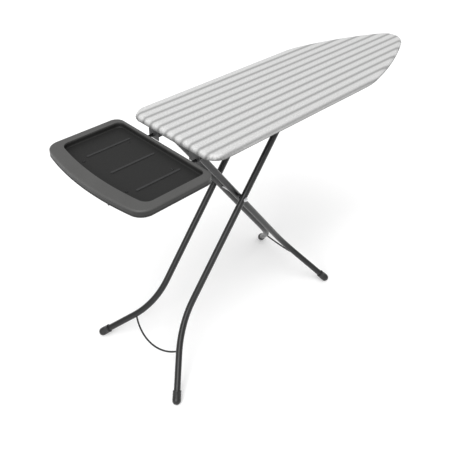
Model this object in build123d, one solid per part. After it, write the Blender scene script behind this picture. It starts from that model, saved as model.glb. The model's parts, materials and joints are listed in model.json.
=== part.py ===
from build123d import *
import math
import os

os.makedirs("parts", exist_ok=True)

# ---------------------------------------------------------------- driving dimensions (mm)
# X runs from the iron tray to the nose of the board, Y across, Z up; Z = 0 is the floor.

# board
BOARD_TOP = 997.0            # ironing surface above the floor
BOARD_LENGTH = 1359.0
BOARD_WIDTH = 438.0
REAR_END = -506.0            # X of the square end
REAR_CORNER_R = 60.0
NOSE_X = REAR_END + BOARD_LENGTH
TAPER_TURNS = ((400.0, 13.0), (1802.0, 25.0), (788.0, 30.0))   # arc radius, heading reached
COVER_T = 1.6
COVER_DROP = 22.5            # depth of the cover's skirt
COVER_HEM = 16.0             # width of the hem turned under the rim
PAD_T = 9.6
PLATE_T = 0.8
HOLE_D = 8.0
HOLE_PITCH = 42.0
RIM_T = 1.5
RIM_H = 8.8
RIM_W = 14.0

# scissor legs
PIVOT_Z = 940.0
REAR_PIVOT_X = -447.0
HALF_SPAN = 229.5            # crossing to either top pivot, along X
LEG_SLOPE = 0.739            # dx / dz of both straight legs
TUBE_R = 12.7
TUBE_T = 1.2
TUBE_HEAD = 16.0             # tube beyond its top bar
OUTER_Y = 79.0
INNER_Y = 44.0
OUTER_FOOT = (-710.0, 236.5)
INNER_FOOT = (227.0, 204.0)
OUTER_BEND = (180.0, 350.0)  # height of the bend, bend radius
INNER_BEND = (215.0, 300.0)
FOOT_R = 16.5
FOOT_L = 36.0
BAR_R = 8.0
BUSH_R = 10.0
AXLE_R = 5.0
WIRE_R = 3.5
BRACE_AT = 0.37              # place of the wire brace along the splayed part
BRACE_BOW = 50.0
FIT = 0.05                   # radial clearance of shafts

# guide rails under the board
RAIL_Y = 100.0
RAIL_T = 2.0
RAIL_BELOW = 14.0            # rail below the leg pivots
RAIL_FRONT = 372.0
REAR_STRUT_T = 2.5
SLOT_FRONT = 328.0
SLOT_GAP = 0.15

# height lever
LEVER_X, LEVER_Z = -40.0, 945.0
LEVER_R = 4.0
CATCH_DROP = 12.0            # degrees the catch hangs down when it is released
NOTCH_PITCH = 30.0
NOTCHES = 6

# tray
TRAY_REAR = -853.0
TRAY_FRONT = -531.0
TRAY_WIDTH = 508.0
TRAY_BOW = 32.0
TRAY_TOP = 968.0
TRAY_BOTTOM = 943.0
TRAY_FLOOR = 948.0
TRAY_T = 3.0
ROD_Y, ROD_Z, ROD_R = 114.0, 936.5, 6.0

# ---------------------------------------------------------------- derived values
taper_run = taper_fall = turned = 0.0
for radius, to in TAPER_TURNS:
    taper_run += radius * (math.sin(math.radians(to)) - math.sin(math.radians(turned)))
    taper_fall += radius * (math.cos(math.radians(turned)) - math.cos(math.radians(to)))
    turned = to
NOSE_R = (BOARD_WIDTH / 2 - taper_fall) / math.cos(math.radians(turned))
NOSE_TURNS = TAPER_TURNS + ((NOSE_R, 90.0),)
TAPER_START = NOSE_X - taper_run - NOSE_R * (1 - math.sin(math.radians(turned)))
CROSS_X = REAR_PIVOT_X + HALF_SPAN
CROSS_Z = PIVOT_Z - HALF_SPAN / LEG_SLOPE
FRONT_PIVOT_X = REAR_PIVOT_X + 2 * HALF_SPAN
PAD_TOP = BOARD_TOP - COVER_T
PLATE_TOP = PAD_TOP - PAD_T
PLATE_BOTTOM = PLATE_TOP - PLATE_T
RIM_BOTTOM = PLATE_BOTTOM - RIM_H
HEM_BOTTOM = BOARD_TOP - COVER_DROP
RAIL_REAR = REAR_END + 19.0
RAIL_BOTTOM = PIVOT_Z - RAIL_BELOW


def save(shape, name):
    export_step(shape, f"parts/{name}.step")


def block(x0, x1, y0, y1, z0, z1):
    return Pos((x0 + x1) / 2, (y0 + y1) / 2, (z0 + z1) / 2) * Box(x1 - x0, y1 - y0, z1 - z0)


def rod(p, q, radius):
    """Solid cylinder between two points."""
    p, q = Vector(*p), Vector(*q)
    return extrude(Plane(origin=p, z_dir=(q - p).normalized()) * Circle(radius), (q - p).length)


def bar_y(x, z, y0, y1, radius):
    return rod((x, y0, z), (x, y1, z), radius)


def ring_y(x, z, y0, y1, outer, inner):
    return bar_y(x, z, y0, y1, outer) - bar_y(x, z, y0 - 1, y1 + 1, inner)


# ---------------------------------------------------------------- board
def outline(inset):
    """Plan of the board moved inwards: square end with rounded corners, tapered round nose."""
    side, heading = BOARD_WIDTH / 2 - inset, 0.0
    rear, corner_r = REAR_END + inset, REAR_CORNER_R - inset
    bulge = corner_r * (1 - math.sqrt(0.5))
    point = (TAPER_START, side)
    arcs = [((rear, side - corner_r), (rear + bulge, side - bulge), (rear + corner_r, side))]
    arcs.append(((rear + corner_r, side), point))
    for radius, to in NOSE_TURNS:
        r, a0, a1 = radius - inset, math.radians(heading), math.radians(to)
        cx, cy = point[0] - r * math.sin(a0), point[1] - r * math.cos(a0)
        am = (a0 + a1) / 2
        end = (cx + r * math.sin(a1), cy + r * math.cos(a1))
        arcs.append((point, (cx + r * math.sin(am), cy + r * math.cos(am)), end))
        point, heading = end, to
    line = [Line((rear, corner_r - side), (rear, side - corner_r))]
    for s in (1, -1):
        for arc in arcs:
            pts = [(x, s * y) for x, y in arc]
            line.append(ThreePointArc(*pts) if len(pts) == 3 else Line(*pts))
    return make_face(Wire(line))


def slab(inset, z0, z1):
    return extrude(Pos(0, 0, z0) * outline(inset), z1 - z0)


def top_edges(solid):
    return solid.edges().group_by(Axis.Z)[-1]


# padding and its fabric cover
PAD_EDGE = 4.4
pad = slab(COVER_T, PLATE_TOP, PAD_TOP)
pad = fillet(top_edges(pad), PAD_EDGE)
save(pad, "pad")

cover = slab(0, HEM_BOTTOM, BOARD_TOP)
cover = fillet(top_edges(cover), PAD_EDGE + COVER_T)
cavity = slab(COVER_T, HEM_BOTTOM + COVER_T, PAD_TOP)
cavity = fillet(top_edges(cavity), PAD_EDGE)
cover = cover - cavity - slab(COVER_HEM, HEM_BOTTOM - 1, HEM_BOTTOM + 3)
save(cover, "cover")

# perforated steel top
sheet = outline(2.0)
rows = int(BOARD_WIDTH / 2 / HOLE_PITCH)
columns = int(BOARD_LENGTH / HOLE_PITCH)
holes = []
for i in range(columns):
    for j in range(-rows, rows + 1):
        x = REAR_END + 45 + i * HOLE_PITCH
        y = j * HOLE_PITCH + (HOLE_PITCH / 2 if i % 2 else 0)
        to_nose = NOSE_X - x
        room = BOARD_WIDTH / 2 * min(1.0, (to_nose / 500) ** 0.62) - 30
        if to_nose > 60 and abs(y) < room and abs(abs(y) - RAIL_Y - 8) > 14:
            holes.append(Pos(x, y) * Circle(HOLE_D / 2))
sheet = sheet - holes
plate = extrude(Pos(0, 0, PLATE_BOTTOM) * sheet, PLATE_T)
save(plate, "top_plate")

# folded sheet rim in three lengths
rim = slab(2.0, RIM_BOTTOM, PLATE_BOTTOM)
rim -= slab(2.0 + RIM_T, RIM_BOTTOM + RIM_T, PLATE_BOTTOM + 1)
rim -= slab(2.0 + RIM_W, RIM_BOTTOM - 1, RIM_BOTTOM + 3)
SPLIT_X = REAR_END + REAR_CORNER_R + 5
save(rim & block(REAR_END - 9, SPLIT_X, -300, 300, 900, 1000), "rim_rear")
save(rim & block(SPLIT_X, NOSE_X + 9, -300, 0, 900, 1000), "rim_near")
save(rim & block(SPLIT_X, NOSE_X + 9, 0, 300, 900, 1000), "rim_far")

# cross struts lying in the rim
for name, x in (("strut_middle", 430.0), ("strut_nose", 640.0)):
    z0 = RIM_BOTTOM + RIM_T
    channel = block(x - 20, x + 20, -300, 300, z0, PLATE_BOTTOM)
    channel -= block(x - 18.8, x + 18.8, -300, 300, z0 + 1.2, PLATE_BOTTOM + 1)
    save(channel & slab(2.0 + RIM_T + 0.3, z0 - 1, PLATE_BOTTOM + 1), name)

rear_strut = block(RAIL_REAR - REAR_STRUT_T, RAIL_REAR, -156, 156, PLATE_BOTTOM - 18, PLATE_BOTTOM)
rear_strut += block(RAIL_REAR - REAR_STRUT_T, RAIL_REAR, -132, 132, RAIL_BOTTOM, PLATE_BOTTOM - 18)
rear_strut -= block(RAIL_REAR - 9, RAIL_REAR + 9, -80, 80, RAIL_BOTTOM - 1, PLATE_BOTTOM - 26)
for s in (-1, 1):
    rear_strut -= rod((RAIL_REAR - 9, s * ROD_Y, ROD_Z), (RAIL_REAR + 9, s * ROD_Y, ROD_Z), ROD_R + FIT)
save(rear_strut, "strut_rear")


# ---------------------------------------------------------------- guide rails
def guide_rail(s):
    y0, y1 = sorted((s * RAIL_Y, s * (RAIL_Y + RAIL_T)))
    web = block(RAIL_REAR, RAIL_FRONT, y0, y1, RAIL_BOTTOM, PLATE_BOTTOM)
    ends = web.edges().filter_by(Axis.Y).group_by(Axis.Z)[0]
    web = fillet(ends, 12)
    f0, f1 = sorted((s * (RAIL_Y + RAIL_T), s * (RAIL_Y + 16)))
    web += block(RAIL_REAR, RAIL_FRONT, f0, f1, PLATE_BOTTOM - 1.5, PLATE_BOTTOM)
    a, b = y0 - 1, y1 + 1
    web -= bar_y(REAR_PIVOT_X, PIVOT_Z, a, b, BUSH_R + FIT)
    web -= bar_y(LEVER_X, LEVER_Z, a, b, LEVER_R + FIT)
    slot_r, slot_rear = BUSH_R + SLOT_GAP, FRONT_PIVOT_X - 2
    web -= bar_y(slot_rear, PIVOT_Z, a, b, slot_r) + bar_y(SLOT_FRONT, PIVOT_Z, a, b, slot_r)
    web -= block(slot_rear, SLOT_FRONT, a, b, PIVOT_Z - slot_r, PIVOT_Z + slot_r)
    for x in (-330, -230, -130):
        web -= bar_y(x - 22, 958, a, b, 9) + bar_y(x + 22, 958, a, b, 9)
        web -= block(x - 22, x + 22, a, b, 949, 967)
    return web


for name, s in (("rail_near", -1), ("rail_far", 1)):
    save(guide_rail(s), name)


# ---------------------------------------------------------------- legs
def leg_points(top_x, s_x, y, foot, bend):
    """Top pivot, bend corner and centre of the foot of one leg tube."""
    top = Vector(top_x, y, PIVOT_Z)
    corner = Vector(top_x + s_x * LEG_SLOPE * (PIVOT_Z - bend[0]), y, bend[0])
    end = Vector(foot[0], math.copysign(foot[1], y), FOOT_R)
    return top, corner, end


def leg_tube(top, corner, end, radius):
    """Tube from above its top bar to inside the foot, with one round bend."""
    down, out = (corner - top).normalized(), (end - corner).normalized()
    start, stop = top - down * TUBE_HEAD, end - out * 5
    angle = math.acos(down.dot(out))
    t = radius * math.tan(angle / 2)
    bend_in, bend_out = corner - down * t, corner + out * t
    inward = (out - down).normalized()
    middle = corner + inward * radius * (1 / math.cos(angle / 2) - 1)
    path = Wire([Line(start, bend_in), ThreePointArc(bend_in, middle, bend_out),
                 Line(bend_out, stop)])
    section = Circle(TUBE_R) - Circle(TUBE_R - TUBE_T)
    return sweep(Plane(origin=start, z_dir=down) * section, path)


def foot_cap(corner, end):
    """Rubber cap with a round end, turned as one profile; the tube stops 4 above its centre."""
    back = (corner - end).normalized()
    bore = TUBE_R + FIT
    profile = make_face([CenterArc((0, 0), FOOT_R, -90, 90), Line((FOOT_R, 0), (FOOT_R, FOOT_L)),
                         Line((FOOT_R, FOOT_L), (bore, FOOT_L)), Line((bore, FOOT_L), (bore, 4)),
                         Line((bore, 4), (0, 4)), Line((0, 4), (0, -FOOT_R))])
    return Plane(origin=end, z_dir=back) * revolve(Plane.XZ * profile, Axis.Z)


def head_plug(top, corner):
    down = (corner - top).normalized()
    end = top - down * TUBE_HEAD
    plug = rod(end - down * 2.5, end, TUBE_R)
    rims = plug.edges().filter_by(GeomType.CIRCLE)
    plug = fillet(rims.sort_by(lambda e: (e.arc_center - end).length)[-1], 1.5)
    return plug + rod(end, end + down * 5, TUBE_R - TUBE_T - FIT)


def wire_brace(points):
    """Bowed wire between the two splayed tubes of one frame."""
    (_, c0, e0), (top, c1, e1) = points
    p, q = c0 + (e0 - c0) * BRACE_AT, c1 + (e1 - c1) * BRACE_AT
    across = (q - p).normalized() * (TUBE_R / 2)
    p, q = p + across, q - across
    down = (c1 - top).normalized()
    path = ThreePointArc(p, (p + q) * 0.5 + down * BRACE_BOW, q)
    wire = sweep(Plane(origin=p, z_dir=path % 0) * Circle(WIRE_R), Wire([path]))
    for corner, end in ((c0, e0), (c1, e1)):
        wire -= rod(corner, end, TUBE_R + 0.02)
    return wire


def top_bush(x, s):
    """Plastic bush on the end of a top bar, running in the rail."""
    faces = sorted((s * (RAIL_Y - 0.4), s * (RAIL_Y + RAIL_T + 1.2)))
    collar = sorted((s * (OUTER_Y + TUBE_R + 0.4), s * (RAIL_Y - 0.4)))
    return (ring_y(x, PIVOT_Z, faces[0], faces[1], BUSH_R, BAR_R + FIT)
            + ring_y(x, PIVOT_Z, collar[0], collar[1], BUSH_R + 3, BAR_R + FIT))


def end_clip(x, s):
    y0, y1 = sorted((s * (RAIL_Y + RAIL_T + 1.6), s * (RAIL_Y + RAIL_T + 2.6)))
    return ring_y(x, PIVOT_Z, y0, y1, 11.0, BAR_R + FIT)


FRAMES = {
    "outer": dict(top_x=FRONT_PIVOT_X, s_x=-1, y=OUTER_Y, foot=OUTER_FOOT, bend=OUTER_BEND),
    "inner": dict(top_x=REAR_PIVOT_X, s_x=1, y=INNER_Y, foot=INNER_FOOT, bend=INNER_BEND),
}
BAR_END = RAIL_Y + RAIL_T + 3.6
for frame, d in FRAMES.items():
    both = []
    for side, s in (("near", -1), ("far", 1)):
        top, corner, end = leg_points(d["top_x"], d["s_x"], s * d["y"], d["foot"], d["bend"])
        both.append((top, corner, end))
        y0, y1 = s * d["y"] - 20, s * d["y"] + 20
        tube = leg_tube(top, corner, end, d["bend"][1])
        tube -= bar_y(d["top_x"], PIVOT_Z, y0, y1, BAR_R + FIT)
        tube -= bar_y(CROSS_X, CROSS_Z, y0, y1, AXLE_R + FIT)
        save(tube, f"{frame}_tube_{side}")
        save(foot_cap(corner, end), f"{frame}_foot_{side}")
        save(head_plug(top, corner), f"{frame}_plug_{side}")
        save(top_bush(d["top_x"], s), f"{frame}_bush_{side}")
    save(bar_y(d["top_x"], PIVOT_Z, -BAR_END, BAR_END, BAR_R), f"{frame}_top_bar")
    save(wire_brace(both), f"{frame}_brace")
    save(Compound([end_clip(d["top_x"], s) for s in (-1, 1)]), f"{frame}_clips")

# sleeves that keep the inner frame centred on its top bar
for name, s in (("pivot_sleeve_near", -1), ("pivot_sleeve_far", 1)):
    y0, y1 = sorted((s * (INNER_Y + TUBE_R + 0.3), s * (OUTER_Y + TUBE_R)))
    save(ring_y(REAR_PIVOT_X, PIVOT_Z, y0, y1, 9.6, BAR_R + FIT), name)

# bright axle through the crossing, spacers between the frames and caps on its ends
AXLE_END = OUTER_Y + TUBE_R + 5.5
save(bar_y(CROSS_X, CROSS_Z, -AXLE_END, AXLE_END, AXLE_R), "axle")
for name, s in (("near", -1), ("far", 1)):
    y0, y1 = sorted((s * (INNER_Y + TUBE_R + 0.3), s * (OUTER_Y - TUBE_R - 0.3)))
    spacer = ring_y(CROSS_X, CROSS_Z, y0, y1, 10.0, AXLE_R + FIT)
    save(spacer, f"axle_spacer_{name}")
    y0, y1 = sorted((s * (OUTER_Y + TUBE_R + 0.3), s * (OUTER_Y + TUBE_R + 1.5)))
    washer = ring_y(CROSS_X, CROSS_Z, y0, y1, 9.5, AXLE_R + FIT)
    y0, y1 = sorted((s * (OUTER_Y + TUBE_R + 1.5), s * (AXLE_END - 0.6)))
    save(washer + ring_y(CROSS_X, CROSS_Z, y0, y1, 7.0, AXLE_R + FIT), f"axle_cap_{name}")

# ---------------------------------------------------------------- height lever
# The catch is drawn lifted, its notches around the outer top bar, then let down.
CATCH_FRONT = FRONT_PIVOT_X + (NOTCHES - 1) * NOTCH_PITCH + 20
catch = block(LEVER_X - 12, CATCH_FRONT, -15, 15, 928, 943) - block(LEVER_X - 13, CATCH_FRONT + 1,
                                                                  -12, 12, 930.5, 950)
catch += block(LEVER_X - 12, LEVER_X + 12, -15, -12, 943, 953)
catch += block(LEVER_X - 12, LEVER_X + 12, 12, 15, 943, 953)
for k in range(NOTCHES):
    x = FRONT_PIVOT_X + k * NOTCH_PITCH
    catch -= bar_y(x, PIVOT_Z, -16, 16, BAR_R + 0.8)
    catch -= block(x - BAR_R - 0.8, x + BAR_R + 0.8, -16, 16, PIVOT_Z, 950)
catch -= block(LEVER_X + 13, FRONT_PIVOT_X - BAR_R + 2, -16, 16, 938, 950)
catch -= bar_y(LEVER_X, LEVER_Z, -16, 16, LEVER_R + FIT)
hinge = Axis((LEVER_X, 0, LEVER_Z), (0, 1, 0))
save(catch.rotate(hinge, CATCH_DROP), "height_catch")

LEVER_NEAR, LEVER_FAR = -176.0, RAIL_Y + RAIL_T + 6
save(bar_y(LEVER_X, LEVER_Z, LEVER_NEAR, LEVER_FAR, LEVER_R), "lever_rod")

paddle = block(LEVER_X - 74, LEVER_X + 9, -174, -134, LEVER_Z - 6, LEVER_Z + 8)
paddle = fillet(paddle.edges().filter_by(Axis.Z), 8)
paddle = fillet(paddle.edges().group_by(Axis.Z)[-1] + paddle.edges().group_by(Axis.Z)[0], 2.5)
paddle -= bar_y(LEVER_X, LEVER_Z, -177, -130, LEVER_R + FIT)
paddle -= block(LEVER_X - 64, LEVER_X - 14, -166, -142, LEVER_Z + 3, LEVER_Z + 9)
save(paddle, "lever_grip")
collars = [ring_y(LEVER_X, LEVER_Z, y0, y0 + 4, 8.0, LEVER_R + FIT)
           for y0 in (-RAIL_Y + 0.4, RAIL_Y - 4.4)]
save(Compound(collars), "lever_collars")


# ---------------------------------------------------------------- tray
def tray_plan(rear, front, half, bow, rear_r, front_r):
    square = [(rear + bow, half), (front, half), (front, -half), (rear + bow, -half)]
    edge = [Line(p, q) for p, q in zip(square, square[1:])]
    edge.append(ThreePointArc(square[3], (rear, 0), square[0]))
    face = make_face(Wire(edge))
    corners = face.vertices().group_by(Axis.X)
    face = fillet(corners[-1], front_r)
    corners = face.vertices().filter_by(lambda v: abs(v.X - rear - bow) < 1)
    return fillet(corners, rear_r)


def tray_slab(inset, z0, z1):
    plan = tray_plan(TRAY_REAR + inset, TRAY_FRONT - inset, TRAY_WIDTH / 2 - inset,
                     TRAY_BOW, 50 - inset, 35 - inset)
    return extrude(Pos(0, 0, z0) * plan, z1 - z0)


def well_slab(grow, z0, z1):
    plan = tray_plan(TRAY_REAR + 48 - grow, TRAY_FRONT - 14 + grow, TRAY_WIDTH / 2 - 30 + grow,
                     TRAY_BOW * 0.75, 32 + grow, 22 + grow)
    return extrude(Pos(0, 0, z0) * plan, z1 - z0)


tray = fillet(top_edges(tray_slab(0, TRAY_BOTTOM, TRAY_TOP)), 5)
tray -= tray_slab(TRAY_T, TRAY_BOTTOM - 1, TRAY_TOP - TRAY_T - 2)
tray += well_slab(TRAY_T, TRAY_FLOOR - TRAY_T, TRAY_TOP - TRAY_T)
well = well_slab(0, TRAY_FLOOR, TRAY_TOP + 1)
well = fillet(well.edges().group_by(Axis.Z)[0], 4)
tray -= well
save(tray, "tray")

for name, y in (("near", -131.0), ("middle", 0.0), ("far", 131.0)):
    strip = block(-747, -572, y - 4, y + 4, TRAY_FLOOR, TRAY_FLOOR + 2.2)
    strip = fillet(strip.edges().filter_by(Axis.Z), 3.5)
    save(strip, f"tray_strip_{name}")

for side, s in (("near", -1), ("far", 1)):
    support = rod((-836, s * ROD_Y, ROD_Z), (-380, s * ROD_Y, ROD_Z), ROD_R)
    support -= rod((-837, s * ROD_Y, ROD_Z), (-379, s * ROD_Y, ROD_Z), ROD_R - 1.5)
    save(support, f"tray_rod_{side}")
    plugs = []
    for x, t in ((-836, -1), (-380, 1)):
        plug = rod((x, s * ROD_Y, ROD_Z), (x + t * 3, s * ROD_Y, ROD_Z), ROD_R)
        plugs.append(plug + rod((x, s * ROD_Y, ROD_Z), (x - t * 8, s * ROD_Y, ROD_Z), ROD_R - 1.55))
    save(Compound(plugs), f"tray_rod_plugs_{side}")
    y0, y1 = sorted((s * (RAIL_Y + RAIL_T), s * (ROD_Y + 10)))
    clamp = block(-412, -390, y0, y1, ROD_Z - 9, ROD_Z + 10)
    clamp = fillet(clamp.edges().filter_by(Axis.X).sort_by(Axis.Y)[-2:] if s > 0 else
                   clamp.edges().filter_by(Axis.X).sort_by(Axis.Y)[:2], 3)
    save(clamp - rod((-413, s * ROD_Y, ROD_Z), (-389, s * ROD_Y, ROD_Z), ROD_R + FIT),
         f"rod_clamp_{side}")
    for place, x in (("front", -590), ("rear", -770)):
        saddle = block(x - 13, x + 13, s * ROD_Y - 12, s * ROD_Y + 12, ROD_Z - 9, TRAY_FLOOR - TRAY_T)
        saddle = fillet(saddle.edges().filter_by(Axis.X).group_by(Axis.Z)[0], 5)
        save(saddle - rod((x - 14, s * ROD_Y, ROD_Z), (x + 14, s * ROD_Y, ROD_Z), ROD_R + FIT),
             f"tray_saddle_{place}_{side}")

screws = []
for x in (-590, -770):
    for s in (-1, 1):
        head = Pos(x, s * ROD_Y, TRAY_FLOOR) * extrude(Circle(4.5), 2.2)
        head = fillet(head.edges().group_by(Axis.Z)[-1], 1.2)
        slot = Pos(x, s * ROD_Y, TRAY_FLOOR + 2.2) * (Box(5.4, 1, 1.6) + Box(1, 5.4, 1.6))
        screws.append(head - slot)
save(Compound(screws), "tray_screws")
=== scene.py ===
import bpy, bmesh, json, math
from mathutils import Matrix, Vector, noise


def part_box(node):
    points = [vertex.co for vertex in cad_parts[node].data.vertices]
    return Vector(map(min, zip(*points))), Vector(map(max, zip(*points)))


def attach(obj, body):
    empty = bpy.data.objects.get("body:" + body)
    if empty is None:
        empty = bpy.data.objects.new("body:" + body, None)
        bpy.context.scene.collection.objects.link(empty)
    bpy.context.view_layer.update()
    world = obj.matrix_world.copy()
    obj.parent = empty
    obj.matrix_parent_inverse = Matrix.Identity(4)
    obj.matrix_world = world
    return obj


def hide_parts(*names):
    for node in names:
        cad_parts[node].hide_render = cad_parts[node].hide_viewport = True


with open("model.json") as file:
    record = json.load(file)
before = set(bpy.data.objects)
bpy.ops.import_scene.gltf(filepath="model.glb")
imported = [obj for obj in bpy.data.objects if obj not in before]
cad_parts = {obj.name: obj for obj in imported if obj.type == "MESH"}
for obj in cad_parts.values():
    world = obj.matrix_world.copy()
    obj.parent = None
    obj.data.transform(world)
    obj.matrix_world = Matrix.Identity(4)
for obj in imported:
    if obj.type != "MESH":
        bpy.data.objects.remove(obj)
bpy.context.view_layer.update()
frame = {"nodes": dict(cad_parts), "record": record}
nodes = frame["nodes"]

# ------------------------------------------------------------------ camera
# place and aim from the camera fitted to the photo's viewing angle
CAMERA_PLACE = Vector((-1.664037, -1.439821, 2.072024))
CAMERA_FORWARD = Vector((0.606019, 0.579608, -0.544790))
CAMERA_RIGHT = Vector((0.703548, -0.710130, 0.027104))

camera = bpy.data.objects.new("camera", bpy.data.cameras.new("camera"))
bpy.context.scene.collection.objects.link(camera)
bpy.context.scene.camera = camera
forward = CAMERA_FORWARD.normalized()
right = CAMERA_RIGHT.normalized()
up = right.cross(forward)
turn = Matrix((right, up, -forward)).transposed().to_4x4()
camera.matrix_world = Matrix.Translation(CAMERA_PLACE) @ turn
camera.data.sensor_width = 36.0
camera.data.lens = 50.588
camera.data.shift_x = -0.030973
camera.data.shift_y = -0.134956
bpy.context.scene.view_settings.view_transform = "Standard"


# ------------------------------------------------------------------ material helpers
def make_material(name):
    """New material with its node tree and shader."""
    m = bpy.data.materials.new(name)
    m.use_nodes = True
    return m, m.node_tree, m.node_tree.nodes["Principled BSDF"]


def add(tree, kind, settings=None, **inputs):
    """New node's first output. An input named i0, i1 ... goes by number, any other by name."""
    n = tree.nodes.new(kind)
    for key, value in (settings or {}).items():
        setattr(n, key, value)
    for key, value in inputs.items():
        socket = n.inputs[int(key[1:])] if key[0] == "i" and key[1:].isdigit() else n.inputs[key]
        if isinstance(value, bpy.types.NodeSocket):
            tree.links.new(value, socket)
        else:
            socket.default_value = value
    return n.outputs[0]


def math_node(tree, op, a, b=0.0, c=0.0):
    """Result of a maths operation on up to three numbers or sockets."""
    return add(tree, "ShaderNodeMath", {"operation": op}, i0=a, i1=b, i2=c)


def set_all(shader, **values):
    """Set several of the shader's own sockets."""
    for key, value in values.items():
        shader.inputs[key.replace("_", " ")].default_value = value


def object_coords(tree, scale=(1, 1, 1)):
    """Object coordinates, scaled."""
    coords = tree.nodes.new("ShaderNodeTexCoord").outputs["Object"]
    return add(tree, "ShaderNodeMapping", None, Vector=coords, Scale=scale)


def noise_at(tree, coords, scale, detail=3.0, rough=0.5):
    return add(tree, "ShaderNodeTexNoise", None, Vector=coords, Scale=scale, Detail=detail,
               Roughness=rough)


def tint(tree, factor, low, high):
    """Colour running from low to high as factor goes over the middle of a noise."""
    ramp = tree.nodes.new("ShaderNodeValToRGB")
    tree.links.new(factor, ramp.inputs[0])
    ramp.color_ramp.elements[0].position, ramp.color_ramp.elements[1].position = 0.32, 0.68
    ramp.color_ramp.elements[0].color = (*low, 1)
    ramp.color_ramp.elements[1].color = (*high, 1)
    return ramp.outputs[0]


def bump(tree, height, distance, strength=1.0, normal=None):
    inputs = dict(Height=height, Distance=distance, Strength=strength)
    if normal is not None:
        inputs["Normal"] = normal
    return add(tree, "ShaderNodeBump", None, **inputs)


def link(tree, output, shader, name):
    tree.links.new(output, shader.inputs[name])


def span(tree, value, low, high):
    """Number running from low to high over the middle of a noise."""
    return add(tree, "ShaderNodeMapRange", None, Value=value, **{"From Min": 0.3, "From Max": 0.7,
                                                                 "To Min": low, "To Max": high})


GLOSS_SPREAD = 0.06


def surface(name, base, spread, rough, grain, depth, metallic=0.0, mottling=14.0, **sockets):
    """Painted, moulded or rubber surface: mottled colour, uneven gloss and a fine grain."""
    m, tree, shader = make_material(name)
    coords = object_coords(tree)
    low = tuple(c * (1 - spread) for c in base)
    high = tuple(c * (1 + spread) for c in base)
    link(tree, tint(tree, noise_at(tree, coords, mottling, 5.0, 0.6), low, high), shader, "Base Color")
    uneven = noise_at(tree, coords, mottling * 4, 3.0)
    link(tree, span(tree, uneven, rough - GLOSS_SPREAD, rough + GLOSS_SPREAD), shader, "Roughness")
    fine = noise_at(tree, coords, grain, 2.0)
    link(tree, bump(tree, fine, depth, 0.6), shader, "Normal")
    set_all(shader, Metallic=metallic, **sockets)
    return m


# ------------------------------------------------------------------ materials
STRIPE_PITCH = 0.040
STRIPE_SHARPNESS = 3.0
LIGHT_TONE = 0.72
STRIPE_TONE = 0.36


def stripe_print(tree, y):
    """Generic print: soft, evenly spaced stripes running along the board."""
    wave = math_node(tree, "COSINE", math_node(tree, "MULTIPLY", y, 2 * math.pi / STRIPE_PITCH))
    line = math_node(tree, "POWER", math_node(tree, "MULTIPLY_ADD", wave, -0.5, 0.5), STRIPE_SHARPNESS)
    return math_node(tree, "MULTIPLY_ADD", line, STRIPE_TONE - LIGHT_TONE, LIGHT_TONE)


def cover_material():
    """Printed plain weave, with painted shade darkening its gathered hem and folds, deepest at the rear."""
    m, tree, shader = make_material("cover_cotton")
    flat = add(tree, "ShaderNodeUVMap", {"uv_map": "flat"})
    xyz = tree.nodes.new("ShaderNodeSeparateXYZ")
    tree.links.new(flat, xyz.inputs[0])
    x, y = xyz.outputs[0], xyz.outputs[1]
    printed = stripe_print(tree, y)
    # plain weave: warp and weft at 0.9 mm, with a few slubs
    warp = add(tree, "ShaderNodeTexWave", {"wave_type": "BANDS", "bands_direction": "X"}, Vector=flat,
               Scale=350.0, Distortion=0.6, Detail=1.0)
    weft = add(tree, "ShaderNodeTexWave", {"wave_type": "BANDS", "bands_direction": "Y"}, Vector=flat,
               Scale=350.0, Distortion=0.6, Detail=1.0)
    weave = math_node(tree, "MULTIPLY", warp, weft)
    stretched = add(tree, "ShaderNodeMapping", None, Vector=flat, Scale=(30.0, 900.0, 1.0))
    slub = noise_at(tree, stretched, 1.0, 2.0)
    shade = tint(tree, math_node(tree, "MULTIPLY_ADD", weave, 0.35, math_node(tree, "MULTIPLY", slub, 0.6)),
                 (0.93, 0.93, 0.93), (1.0, 1.0, 1.0))
    colour = add(tree, "ShaderNodeMixRGB", {"blend_type": "MULTIPLY"}, Fac=1.0, Color1=printed, Color2=shade)
    mottle = tint(tree, noise_at(tree, flat, 170.0, 3.0, 0.75), (0.70, 0.70, 0.69), (1.0, 1.0, 1.0))
    colour = add(tree, "ShaderNodeMixRGB", {"blend_type": "MULTIPLY"}, Fac=0.9, Color1=colour, Color2=mottle)
    # painted shade: the gathered hem goes darker towards the binding and darkest at the rear, broken by
    # short folds
    place = tree.nodes.new("ShaderNodeTexCoord").outputs["Object"]
    split = tree.nodes.new("ShaderNodeSeparateXYZ")
    tree.links.new(place, split.inputs[0])
    upright = add(tree, "ShaderNodeMapping", None, Vector=place, Scale=(170.0, 170.0, 25.0))
    folds = noise_at(tree, upright, 1.0, 2.0)
    level = math_node(tree, "MULTIPLY_ADD", folds, 0.010, split.outputs[2])
    # painted shade: how dark the hem gets, deeper at the rear end
    rear_shade_floor = add(tree, "ShaderNodeMapRange", {"interpolation_type": "SMOOTHSTEP"}, Value=x,
               **{"From Min": -0.47, "From Max": -0.33, "To Min": 0.36, "To Max": 0.78})
    painted_hem_shade = add(tree, "ShaderNodeMapRange", {"interpolation_type": "SMOOTHSTEP"}, Value=level,
              **{"From Min": 0.9800, "From Max": 0.9985, "To Min": rear_shade_floor, "To Max": 1.0})
    colour = add(tree, "ShaderNodeVectorMath", {"operation": "SCALE"}, Vector=colour, Scale=painted_hem_shade)
    link(tree, colour, shader, "Base Color")
    soft = bump(tree, noise_at(tree, flat, 26.0, 3.0), 0.0012, 0.35)
    link(tree, bump(tree, weave, 0.0003, 0.35, soft), shader, "Normal")
    set_all(shader, Roughness=0.88, Sheen_Weight=0.18, Sheen_Roughness=0.5, Specular_IOR_Level=0.25)
    return m


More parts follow.
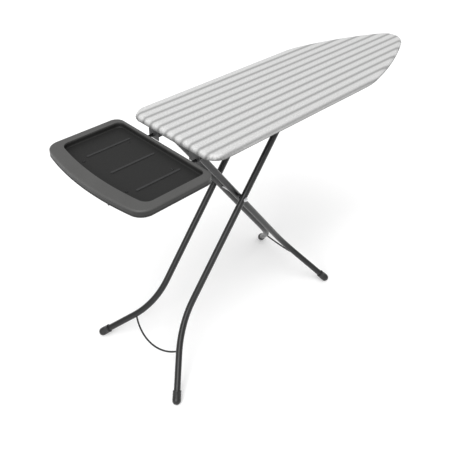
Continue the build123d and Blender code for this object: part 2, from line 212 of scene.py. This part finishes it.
def felt_material():
    """Fibrous off-white felt."""
    m, tree, shader = make_material("pad_felt")
    coords = object_coords(tree)
    fibre = noise_at(tree, coords, 420.0, 6.0, 0.75)
    link(tree, tint(tree, fibre, (0.62, 0.60, 0.56), (0.80, 0.78, 0.74)), shader, "Base Color")
    link(tree, bump(tree, fibre, 0.0012, 0.8), shader, "Normal")
    set_all(shader, Roughness=0.97, Sheen_Weight=0.5)
    return m


def steel_material():
    """Drawn bright steel, with fine lines."""
    m, tree, shader = make_material("bright_steel")
    lines = noise_at(tree, object_coords(tree, (900, 14, 900)), 1.0, 3.0)
    link(tree, tint(tree, lines, (0.50, 0.50, 0.51), (0.66, 0.66, 0.67)), shader, "Base Color")
    link(tree, span(tree, lines, 0.22, 0.36), shader, "Roughness")
    link(tree, bump(tree, lines, 0.00006, 0.5), shader, "Normal")
    set_all(shader, Metallic=1.0)
    return m


def tray_material():
    """Moulded plastic: smoother rim and walls, matt dark textured floor, with painted shade darkening the
    walls and outer skirt below the rim.
    """
    m = surface("tray_plastic", (0.076, 0.0755, 0.074), 0.08, 0.40, 1400.0, 0.00028, mottling=8.0,
                Specular_IOR_Level=0.32)
    tree, shader = m.node_tree, m.node_tree.nodes["Principled BSDF"]
    coords = tree.nodes.new("ShaderNodeTexCoord").outputs["Object"]
    xyz = tree.nodes.new("ShaderNodeSeparateXYZ")
    tree.links.new(coords, xyz.inputs[0])
    low = add(tree, "ShaderNodeMapRange", {"interpolation_type": "SMOOTHSTEP"}, Value=xyz.outputs[2],
              **{"From Min": 0.9484, "From Max": 0.9530})
    # painted shade: walls and outer skirt below the rim scaled down to a quarter of the rim colour
    high = add(tree, "ShaderNodeMapRange", {"interpolation_type": "SMOOTHSTEP"}, Value=xyz.outputs[2],
               **{"From Min": 0.9595, "From Max": 0.9672, "To Min": 0.25, "To Max": 1.0})
    rim = shader.inputs["Base Color"].links[0].from_socket
    rim = add(tree, "ShaderNodeVectorMath", {"operation": "SCALE"}, Vector=rim, Scale=high)
    dark = tint(tree, noise_at(tree, coords, 900.0, 2.0), (0.0105, 0.0105, 0.0103), (0.017, 0.017, 0.0166))
    link(tree, add(tree, "ShaderNodeMixRGB", None, Fac=low, Color1=dark, Color2=rim), shader, "Base Color")
    gloss = shader.inputs["Roughness"].links[0].from_socket
    link(tree, add(tree, "ShaderNodeMix", None, i0=low, i2=0.62, i3=gloss), shader, "Roughness")
    return m


cotton = cover_material()
binding_cloth = surface("binding_cloth", (0.10, 0.10, 0.098), 0.18, 0.9, 1500.0, 0.0004, Sheen_Weight=0.3)
thread = surface("thread", (0.20, 0.20, 0.20), 0.2, 0.85, 2500.0, 0.0002)
felt = felt_material()
paint = surface("tube_paint", (0.0085, 0.0085, 0.0088), 0.12, 0.34, 1100.0, 0.00022, Coat_Weight=0.1,
                Coat_Roughness=0.22, Specular_IOR_Level=0.42)
sheet_paint = surface("board_steel", (0.022, 0.022, 0.023), 0.12, 0.5, 800.0, 0.0002)
steel = steel_material()
dark_steel = surface("dark_steel", (0.035, 0.035, 0.036), 0.2, 0.4, 900.0, 0.0001, metallic=0.6)
rubber = surface("foot_rubber", (0.009, 0.009, 0.0092), 0.2, 0.42, 1300.0, 0.0002, mottling=60.0,
                 Specular_IOR_Level=0.5)
plastic = surface("dark_plastic", (0.035, 0.035, 0.037), 0.08, 0.48, 1500.0, 0.00015)
tray_plastic = tray_material()
strip_rubber = surface("strip_rubber", (0.028, 0.028, 0.029), 0.15, 0.8, 2200.0, 0.0003, mottling=80.0)

BY_SLOT = {"pad_felt": felt, "board_steel": sheet_paint, "tube_paint": paint, "bright_steel": steel,
           "foot_rubber": rubber, "dark_plastic": plastic, "tray_plastic": tray_plastic,
           "strip_rubber": strip_rubber, "cover_fabric": cotton}
for part in frame["record"]["subparts"]:
    o = nodes[part["node"]]
    o.data.materials.clear()
    o.data.materials.append(BY_SLOT[part["material_slot"]])
nodes["tray_screws"].data.materials[0] = dark_steel


# ------------------------------------------------------------------ mesh helpers
def new_object(name, mesh, material, body):
    """Smooth-shaded object that moves with a body."""
    o = bpy.data.objects.new(name, mesh)
    bpy.context.scene.collection.objects.link(o)
    mesh.materials.append(material)
    mesh.polygons.foreach_set("use_smooth", [True] * len(mesh.polygons))
    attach(o, body)
    return o


def grid_mesh(name, rows, cap=False):
    """Quads between closed rows of points. cap fans the first row shut."""
    n = len(rows[0])
    verts = [p for row in rows for p in row]
    faces = []
    for r in range(len(rows) - 1):
        for i in range(n):
            j = (i + 1) % n
            faces.append((r * n + i, r * n + j, (r + 1) * n + j, (r + 1) * n + i))
    if cap:
        centre = sum((Vector(p) for p in rows[0]), Vector()) / n
        verts.append(centre)
        faces += [(len(verts) - 1, (i + 1) % n, i) for i in range(n)]
    mesh = bpy.data.meshes.new(name)
    mesh.from_pydata([tuple(v) for v in verts], [], faces)
    mesh.update()
    return mesh


# ------------------------------------------------------------------ outline of the board
box_lo, box_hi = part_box("cover")
REAR, NOSE, HALF, TOP = box_lo[0], box_hi[0], box_hi[1], box_hi[2]
REAR_CORNER = 0.060
# arcs of the side as it draws in towards the nose: radius, and the direction each one ends at
TURNS = [(0.400, 13.0), (1.802, 25.0), (0.788, 30.0)]


def board_outline(step):
    """Points and outward normals round the board, evenly spaced."""
    run = fall = 0.0
    was = 0.0
    for r, to in TURNS:
        a0, a1 = math.radians(was), math.radians(to)
        run += r * (math.sin(a1) - math.sin(a0))
        fall += r * (math.cos(a0) - math.cos(a1))
        was = to
    nose_r = (HALF - fall) / math.cos(math.radians(was))
    start = NOSE - run - nose_r * (1 - math.sin(math.radians(was)))
    pieces = [("line", (REAR, 0), (REAR, HALF - REAR_CORNER), (-1, 0)),
              ("arc", (REAR + REAR_CORNER, HALF - REAR_CORNER), REAR_CORNER, 180.0, 90.0),
              ("line", (REAR + REAR_CORNER, HALF), (start, HALF), (0, 1))]
    x, y, was = start, HALF, 0.0
    for r, to in TURNS + [(nose_r, 90.0)]:
        cx, cy = x - r * math.sin(math.radians(was)), y - r * math.cos(math.radians(was))
        pieces.append(("arc", (cx, cy), r, 90.0 - was, 90.0 - to))
        x, y = cx + r * math.sin(math.radians(to)), cy + r * math.cos(math.radians(to))
        was = to
    half = []
    for piece in pieces:
        if piece[0] == "line":
            _, p, q, normal = piece
            length = math.dist(p, q)
            k = max(1, round(length / step))
            half += [((p[0] + (q[0] - p[0]) * i / k, p[1] + (q[1] - p[1]) * i / k), normal)
                     for i in range(k)]
        else:
            _, c, r, a0, a1 = piece
            k = max(2, round(r * math.radians(abs(a1 - a0)) / (step if r > 0.1 else step * 0.4)))
            for i in range(k):
                a = math.radians(a0 + (a1 - a0) * i / k)
                half.append(((c[0] + r * math.cos(a), c[1] + r * math.sin(a)), (math.cos(a), math.sin(a))))
    half.append(((NOSE, 0.0), (1.0, 0.0)))
    other = [((p[0], -p[1]), (n[0], -n[1])) for p, n in reversed(half[1:-1])]
    return half + other


def layered(name, outline, section, centre, levels, height, material, body, uv=False):
    """Closed top over the outline, then a section of (out, down, flat) steps past its edge."""
    rows, flats = [], []
    edge = section[0][0]
    for k in range(levels):
        t = 0.02 + 0.98 * (k / (levels - 1)) ** 0.85
        row, flat = [], []
        for (p, n) in outline:
            x, y = p[0] + n[0] * edge, p[1] + n[1] * edge
            x, y = centre[0] + (x - centre[0]) * t, centre[1] + (y - centre[1]) * t
            row.append((x, y, height(x, y)))
            flat.append((x, y))
        rows.append(row)
        flats.append(flat)
    s = 0.0
    previous = outline[-1][0]
    lengths = []
    for p, n in outline:
        s += math.dist(p, previous)
        previous = p
        lengths.append(s)
    for out, z, flat_out, ruffle in section[1:]:
        row, flat = [], []
        for i, (p, n) in enumerate(outline):
            before, after = outline[i - 1][1], outline[(i + 1) % len(outline)][1]
            ahead = outline[(i + 1) % len(outline)][0]
            bend = math.dist(before, after) / max(math.dist(outline[i - 1][0], ahead), 1e-6)
            tight = min(1.0, 0.12 + bend * 0.06)
            w = lengths[i] * 700
            fold = math.sin(w + 2.2 * math.sin(w * 0.31)) * 0.6 + math.sin(w * 0.53 + 1.1) * 0.4
            shift = ruffle * (0.15 + 0.85 * tight) * (fold + 1.0) * 0.5
            x, y = p[0] + n[0] * (out + shift), p[1] + n[1] * (out + shift)
            row.append((x, y, z + abs(ruffle) * 0.25 * tight * (fold + 1)))
            flat.append((p[0] + n[0] * flat_out, p[1] + n[1] * flat_out))
        rows.append(row)
        flats.append(flat)
    mesh = grid_mesh(name, rows, cap=True)
    if uv:
        layer = mesh.uv_layers.new(name="flat")
        flat_all = [f for row in flats for f in row] + [(centre[0], centre[1])]
        for loop in mesh.loops:
            layer.data[loop.index].uv = flat_all[loop.vertex_index]
    return new_object(name, mesh, material, body), rows, flats[-1]


# ------------------------------------------------------------------ cover and pad
def soft_top(level):
    """Height of a padded surface: level, with shallow dips and a slight crown."""
    def height(x, y):
        wide = noise.noise(Vector((x * 5.5, y * 5.5, 0.7)))
        small = noise.noise(Vector((x * 14, y * 14, 3.1)))
        dip = wide * 0.5 + small * 0.25
        crown = 0.0009 * (y / HALF) ** 2
        return level - 0.0006 + 0.0005 * dip - crown
    return height


outline = board_outline(0.0035)
MIDDLE = (0.12, 0.0)
EDGE = 0.013
section = [(-EDGE, 0, 0, 0)]
run = 0.0
for k in range(1, 8):
    a = math.radians(90 * k / 7)
    out, z = -EDGE + EDGE * math.sin(a), TOP - 0.0012 - EDGE * (1 - math.cos(a))
    run += EDGE * math.radians(90 / 7)
    section.append((out - 0.0004, z, -EDGE + run, 0.0))
for z, ruffle in ((0.9808, 0.0010), (0.9790, 0.0022), (0.9772, 0.0034)):
    run += 0.0018
    section.append((-0.0004, z, -EDGE + run, ruffle))
for out, z, ruffle in ((-0.0016, 0.9758, 0.0034), (-0.0055, 0.9754, 0.0020), (-0.0095, 0.9756, 0.0012),
                       (-0.0135, 0.9758, 0.0010)):
    run += 0.0035
    section.append((out, z, -EDGE + run, ruffle))
cover, cover_rows, cut = layered("cover_fabric", outline, section, MIDDLE, 30, soft_top(TOP), cotton,
                                 "board", uv=True)
cut_along, cut_across = [q[0] for q in cut], [q[1] for q in cut]
cut_size = (max(cut_across) - min(cut_across), max(cut_along) - min(cut_along))
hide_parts("cover")

pad_lo, pad_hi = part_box("pad")
pad_section = [(-0.0165, 0, 0, 0)]
for k in range(1, 7):
    a = math.radians(90 * k / 6)
    down = 0.0078 * (1 - math.cos(a))
    pad_section.append((-0.0165 + 0.0115 * math.sin(a), pad_hi[2] - 0.0014 - down, 0, 0))
pad_section.append((-0.0052, pad_lo[2] + 0.0001, 0, 0))
pad_section.append((-0.0200, pad_lo[2], 0, 0))
pad_section.append((-0.1800, pad_lo[2], 0, 0))
pad, _, _ = layered("pad_felt_layer", board_outline(0.010), pad_section, MIDDLE, 12,
                    soft_top(pad_hi[2] - 0.0012), felt, "board")
bm = bmesh.new()
bm.from_mesh(pad.data)
bmesh.ops.holes_fill(bm, edges=[e for e in bm.edges if e.is_boundary], sides=0)
bmesh.ops.recalc_face_normals(bm, faces=bm.faces)
bm.to_mesh(pad.data)
bm.free()
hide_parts("pad")


def tube_along(name, points, radius, sides, material, body):
    """Closed round cord through points, made directly as a mesh."""
    n = len(points)
    rings = []
    for i, p in enumerate(points):
        p = Vector(p)
        ahead = Vector(points[(i + 1) % n]) - Vector(points[i - 1])
        ahead.normalize()
        side = ahead.cross(Vector((0, 0, 1))).normalized()
        top = side.cross(ahead)
        rings.append([p + (side * math.cos(a) + top * math.sin(a)) * radius
                      for a in (2 * math.pi * k / sides for k in range(sides))])
    rings.append(rings[0])
    return new_object(name, grid_mesh(name, rings), material, body)


hem_row = cover_rows[-5]
binding = tube_along("cover_binding", [(x, y, z - 0.0002) for x, y, z in hem_row[::2]], 0.0009, 8,
                     binding_cloth, "board")

# row of stitches just above the binding
stitches = []
row = cover_rows[-7]
for i in range(0, len(row) - 2, 2):
    p, q = Vector(row[i]), Vector(row[i + 1])
    n = Vector((*outline[i][1], 0))
    a, b = p.lerp(q, 0.1) + n * 0.0003, p.lerp(q, 0.9) + n * 0.0003
    rings = []
    for t, r in ((0, 0.00008), (0.2, 0.0003), (0.8, 0.0003), (1, 0.00008)):
        c = a.lerp(b, t)
        rings.append([c + (n * math.cos(w) + Vector((0, 0, 1)) * math.sin(w)) * r
                      for w in (0, 1.571, 3.1416, 4.712)])
    stitches.append(rings)
verts, faces = [], []
for rings in stitches:
    base = len(verts)
    for ring in rings:
        verts += [tuple(v) for v in ring]
    for r in range(3):
        for k in range(4):
            faces.append((base + r * 4 + k, base + r * 4 + (k + 1) % 4, base + r * 4 + 4 + (k + 1) % 4,
                          base + r * 4 + 4 + k))
mesh = bpy.data.meshes.new("cover_stitching")
mesh.from_pydata(verts, [], faces)
stitching = new_object("cover_stitching", mesh, thread, "board")


# ------------------------------------------------------------------ rubber feet
FOOT_RADIUS = 0.0165
DOME_STEPS = 6
GROOVES = 3
GROOVE_PITCH = 0.0055


def foot_profile():
    """Radius and distance up the tube: a dome, three shallow grooves, a plain sleeve and its open mouth."""
    dome = [(FOOT_RADIUS * math.sin(a), -FOOT_RADIUS * math.cos(a))
            for a in (math.pi / 2 * k / DOME_STEPS for k in range(DOME_STEPS))]
    profile = dome + [(0.0164, 0.0), (FOOT_RADIUS, 0.003)]
    for k in range(GROOVES):
        t = 0.0045 + GROOVE_PITCH * k
        profile += [(FOOT_RADIUS, t), (0.0159, t + 0.0008), (0.0159, t + 0.0023), (FOOT_RADIUS, t + 0.0031)]
    sleeve = [(0.0158, 0.0285), (0.0164, 0.0292), (FOOT_RADIUS, 0.0350), (0.0160, 0.0358)]
    mouth = [(0.0133, 0.0359), (0.01285, 0.0355), (0.01285, 0.026)]
    return profile + sleeve + mouth


# where each lower tube bends towards its foot, the middle of the foot's dome, and the body they move with
LEGS = {"inner_foot": ((0.088775, 0.044, 0.215), (0.227, 0.204, 0.0165), "inner_leg"),
        "outer_foot": ((-0.54964, 0.079, 0.180), (-0.710, 0.2365, 0.0165), "outer_leg")}
for foot, (corner, end, body) in LEGS.items():
    for label, s in (("near", -1), ("far", 1)):
        c, e = Vector((corner[0], s * corner[1], corner[2])), Vector((end[0], s * end[1], end[2]))
        along = (c - e).normalized()
        side = along.cross(Vector((0, 0, 1))).normalized()
        other = along.cross(side)
        rows = []
        for r, t in foot_profile():
            r = max(r, 0.0003)
            rows.append([e + along * t + (side * math.cos(a) + other * math.sin(a)) * r
                         for a in (2 * math.pi * k / 48 for k in range(48))])
        name = f"{foot}_cap_{label}"
        cap = new_object(name, grid_mesh(name, rows, cap=True), rubber, body)
        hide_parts(f"{foot}_{label}")

# ------------------------------------------------------------------ stage and light
floor_mesh = bpy.data.meshes.new("floor")
floor_mesh.from_pydata([(-30, -30, 0), (30, -30, 0), (30, 30, 0), (-30, 30, 0)], [], [(0, 1, 2, 3)])
floor = bpy.data.objects.new("floor", floor_mesh)
bpy.context.scene.collection.objects.link(floor)
m, tree, shader = make_material("floor_paint")
link(tree, tint(tree, noise_at(tree, object_coords(tree), 0.6), (0.86, 0.86, 0.86), (0.88, 0.88, 0.88)),
     shader, "Base Color")
set_all(shader, Roughness=0.9, Specular_IOR_Level=0.1, Emission_Color=(1, 1, 1, 1), Emission_Strength=0.16)
floor_mesh.materials.append(m)

world = bpy.data.worlds.new("world")
bpy.context.scene.world = world
world.use_nodes = True
world.node_tree.nodes["Background"].inputs[0].default_value = (1.0, 1.0, 1.0, 1)
world.node_tree.nodes["Background"].inputs[1].default_value = 0.62


def area_light(name, place, target, size, power):
    """Round soft light aimed at a target."""
    light = bpy.data.lights.new(name, "AREA")
    light.shape, light.size, light.energy = "DISK", size, power
    o = bpy.data.objects.new(name, light)
    bpy.context.scene.collection.objects.link(o)
    o.location = place
    o.rotation_euler = (Vector(target) - Vector(place)).to_track_quat("-Z", "Y").to_euler()


sun = bpy.data.lights.new("sun", "SUN")
sun.energy, sun.angle = 1.75, math.radians(50)
o = bpy.data.objects.new("sun", sun)
bpy.context.scene.collection.objects.link(o)
o.rotation_euler = Vector((0.35, 0.30, -1.0)).to_track_quat("-Z", "Y").to_euler()
area_light("side", (-3.2, -1.2, 2.0), (0, 0, 0.6), 1.6, 40)
